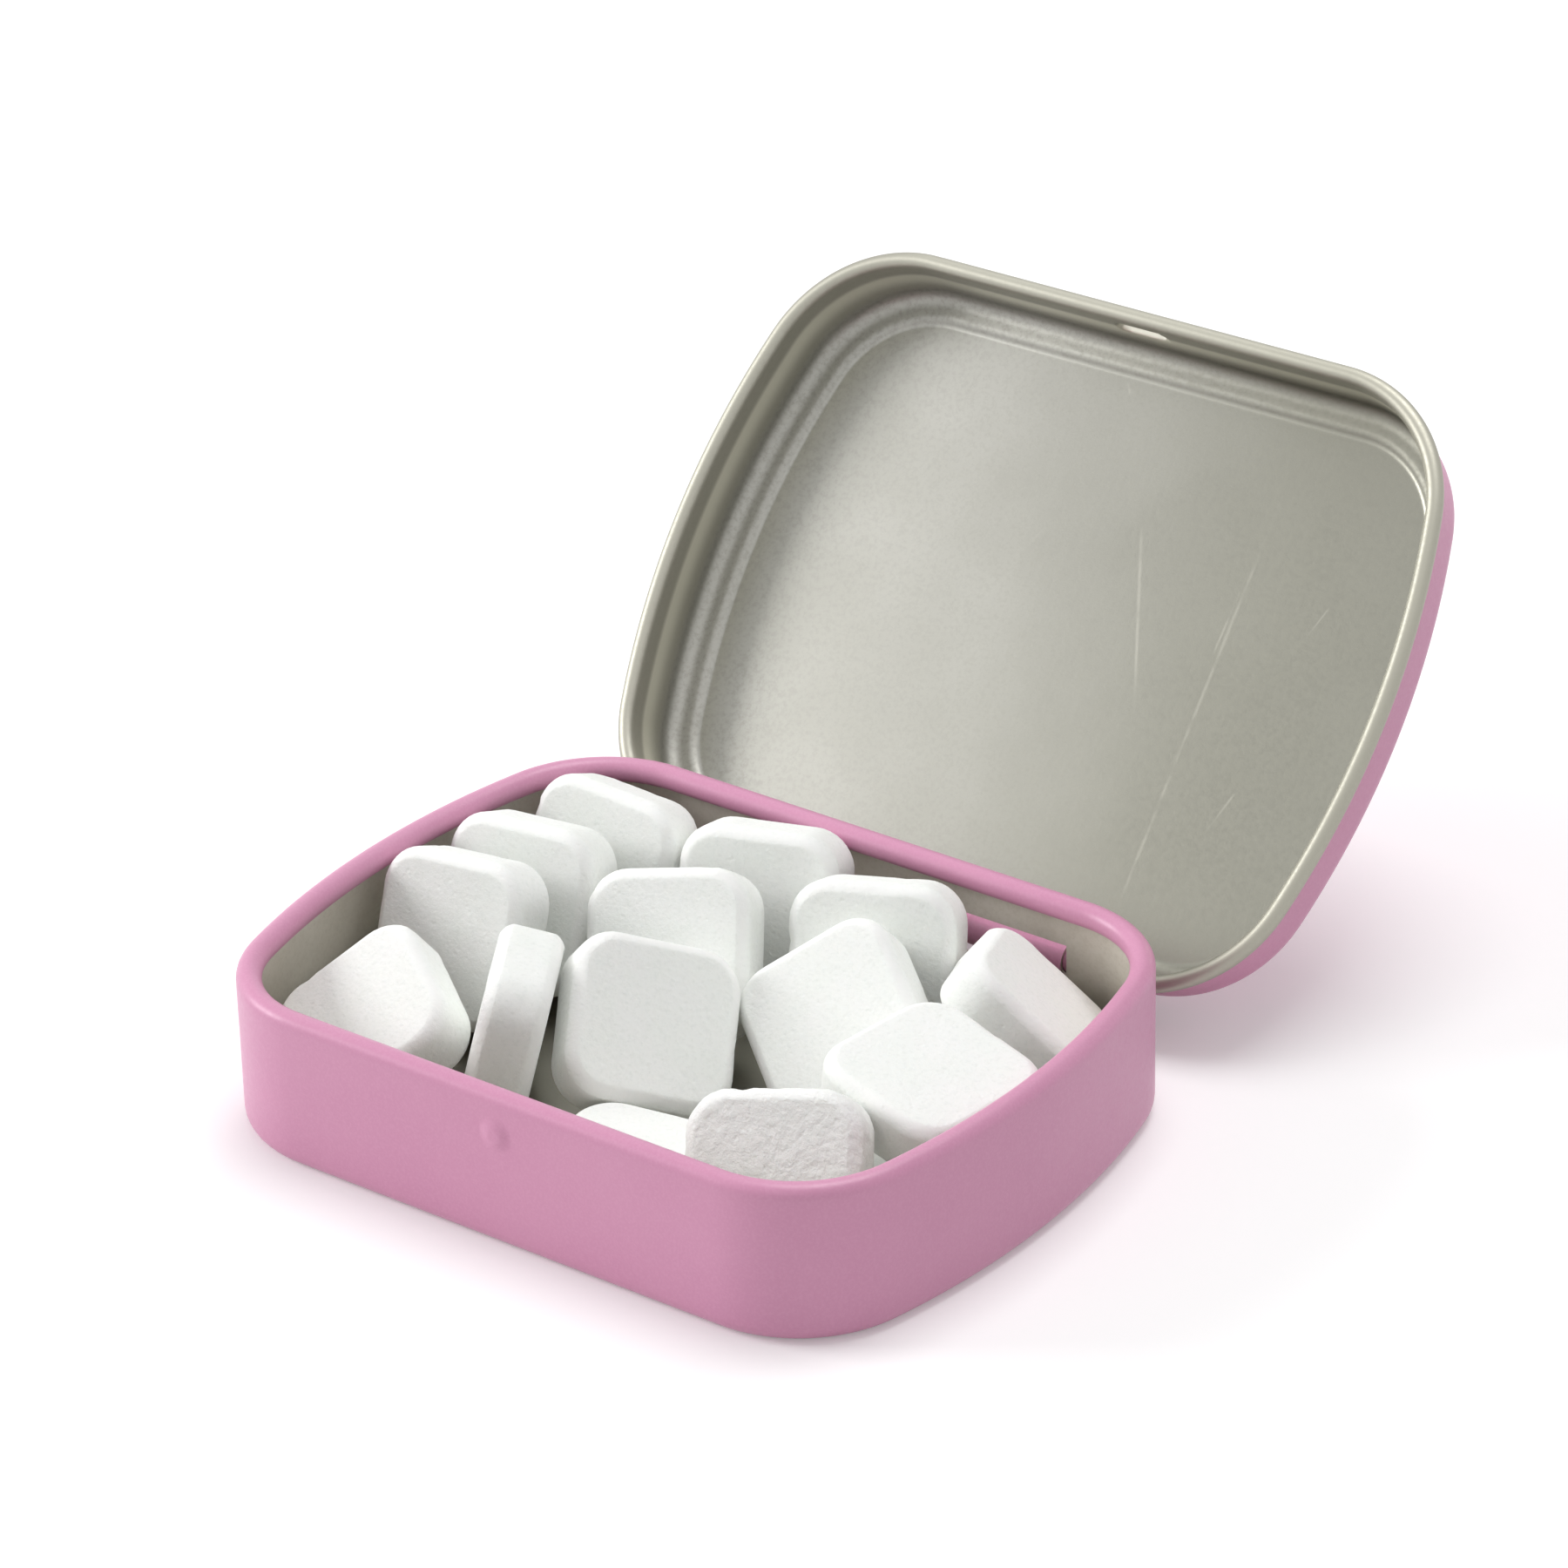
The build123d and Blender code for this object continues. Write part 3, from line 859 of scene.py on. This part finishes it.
def make_mint(node, number):
    """Worn tablet in the place of a mint's plain solid."""
    middle, axes = mint_frame(node)
    turn = Matrix([[MM * axis[k] for axis in axes] for k in range(3)])
    bm = bmesh.new()
    ridge_highlight = bm.verts.layers.float.new("ridge_highlight")
    rings = []
    for share, inset, z in mint_rings():
        ring = []
        edge = share * max(0, 1 - abs(inset - CHIP_INSET) / CHIP_REACH)
        for x, y, out_x, out_y in mint_outline():
            level = copysign(1, z) if share < 1 or inset > 0.02 else 0
            point = Vector((share * (x - inset * out_x), share * (y - inset * out_y), z))
            depth = worn(point, number, edge)
            out = Vector((out_x, out_y, 0)) * (1 if share == 1 else 0) * (1 - inset / MINT_EDGE)
            out += Vector((0, 0, level * inset / MINT_EDGE))
            point -= out * depth
            vert = bm.verts.new(turn @ point + middle)
            # Share of the painted edge highlight, greatest midway round the edge
            vert[ridge_highlight] = sin(pi * inset / MINT_EDGE) if share == 1 else 0
            ring.append(vert)
        rings.append(ring)
    add_rings(bm, rings, True)
    stuff = mint_stuff
    if number == CRUMBLY_MINT:
        stuff = crumbly_mint
        bmesh.ops.recalc_face_normals(bm, faces=bm.faces)
        crumble(bm)
    name = node.replace("mint", "tablet")
    tablet = finished(name, bm, (stuff,), "filled_base", SHARP_MINT_BEND)
    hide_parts(node)


tin_base = make_base()
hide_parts("base")
make_bars()
tin_lid = make_lid()
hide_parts("lid")
for node in sorted(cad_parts):
    if node.startswith("mint"):
        make_mint(node, int(node[-2:]))


# Camera, fitted to the photograph's 1800 by 1800 frame

def set_camera():
    """Camera at the place and with the lens that the photograph was taken with."""
    azimuth, elevation, roll = radians(36.861), radians(28.192), radians(-1.396)
    distance = 0.455353
    target = Vector((-0.009861, 0.023902, 0.012))
    back = Vector(
        (sin(azimuth) * cos(elevation), -cos(azimuth) * cos(elevation), sin(elevation))
    )
    right = Vector((cos(azimuth), sin(azimuth), 0))
    up = back.cross(right)
    across = cos(roll) * right + sin(roll) * up
    along = -sin(roll) * right + cos(roll) * up
    data = bpy.data.cameras.new("camera")
    data.sensor_fit = "HORIZONTAL"
    data.sensor_width = 36.0
    data.lens = 7209.1 / 1800 * data.sensor_width
    data.clip_start = 0.01
    data.clip_end = 20
    camera = bpy.data.objects.new("camera", data)
    bpy.context.scene.collection.objects.link(camera)
    columns = Matrix((across, along, back)).transposed().to_4x4()
    camera.matrix_world = Matrix.Translation(target + distance * back) @ columns
    bpy.context.scene.camera = camera


# Floor, world and lamps

def any_of(tree, *kinds):
    """One where a ray is of any of these kinds."""
    rays = tree.node("LightPath")
    share = rays.outputs[kinds[0]]
    for kind in kinds[1:]:
        share = tree.math("MAXIMUM", share, rays.outputs[kind])
    return share


BACKGROUND_RAYS = "Is Camera Ray", "Is Glossy Ray", "Is Transmission Ray"

# Strength of the white world: as light, and where it is seen or mirrored
WORLD_LIGHT = 0.42
WORLD_SEEN = 1.0

# Floor, in metres, and the glow that brings it to the world's white where it is seen. A
# second glow, for the camera alone, grows from where the fade starts to where it ends.
FLOOR_REACH = 3
FLOOR_GAP = 0.02 * MM
FLOOR_TONES = (0.9, 0.9, 0.9, 1), (0.92, 0.92, 0.92, 1)
NEAR_GLOW = 0.2
FAR_GLOW = 0.5
FADE_START = 0.35
FADE_END = 1.0


def set_world():
    """White world, dimmer as a light than it is seen."""
    world = bpy.data.worlds.new("studio")
    bpy.context.scene.world = world
    tree = Tree(world)
    mixed = tree.node("MixShader")
    tree.put(mixed.inputs[0], any_of(tree, *BACKGROUND_RAYS))
    for socket, strength in zip(mixed.inputs[1:], (WORLD_LIGHT, WORLD_SEEN)):
        plain = tree.node("Background")
        plain.inputs["Color"].default_value = WHITE
        plain.inputs["Strength"].default_value = strength
        tree.put(socket, plain.outputs[0])
    output = tree.node("OutputWorld")
    tree.put(output.inputs[0], mixed.outputs[0])


def set_floor():
    """Pale floor that catches shadows and fades into the white world far from the tin."""
    bm = bmesh.new()
    bmesh.ops.create_grid(bm, x_segments=2, y_segments=2, size=FLOOR_REACH)
    mesh = bpy.data.meshes.new("floor")
    bm.to_mesh(mesh)
    bm.free()
    floor = bpy.data.objects.new("floor", mesh)
    floor.location.z = -FLOOR_GAP
    bpy.context.scene.collection.objects.link(floor)
    material = bpy.data.materials.new("pale_floor")
    tree = Tree(material)
    plain = tree.node("BsdfDiffuse")
    place = tree.node("TexCoord").outputs["Object"]
    tone = tree.mix(tree.noise(place, FLOOR_CLOUD), *FLOOR_TONES)
    tree.put(plain.inputs["Color"], tone)
    near = tree.math("MULTIPLY", any_of(tree, *BACKGROUND_RAYS), NEAR_GLOW)
    far = tree.span(tree.vector("LENGTH", place), FADE_START, FADE_END, 0.0, FAR_GLOW)
    glow = tree.node("Emission")
    beyond = tree.math("MULTIPLY", any_of(tree, "Is Camera Ray"), far)
    tree.put(glow.inputs["Strength"], tree.math("ADD", near, beyond))
    both = tree.node("AddShader")
    tree.put(both.inputs[0], plain.outputs[0])
    tree.put(both.inputs[1], glow.outputs[0])
    output = tree.node("OutputMaterial")
    tree.put(output.inputs[0], both.outputs[0])
    mesh.materials.append(material)


def add_lamp(name, place, power, size):
    """Square lamp that looks at the tin."""
    data = bpy.data.lights.new(name, "AREA")
    data.shape = "RECTANGLE"
    data.size, data.size_y, data.energy = size, size, power
    lamp = bpy.data.objects.new(name, data)
    lamp.location = place
    aim = Vector(LAMP_TARGET) - Vector(place)
    lamp.rotation_euler = aim.to_track_quat("-Z", "Y").to_euler()
    bpy.context.scene.collection.objects.link(lamp)


LAMP_TARGET = 0, 0.01, 0.01
LAMP_POWER = 4.0

set_camera()
set_world()
set_floor()
add_lamp("key_lamp", (-0.74, -0.36, 0.37), LAMP_POWER, 0.35)
add_lamp("top_lamp", (0.0, 0.25, 0.87), LAMP_POWER, 0.5)

bpy.context.scene.view_settings.view_transform = "Standard"
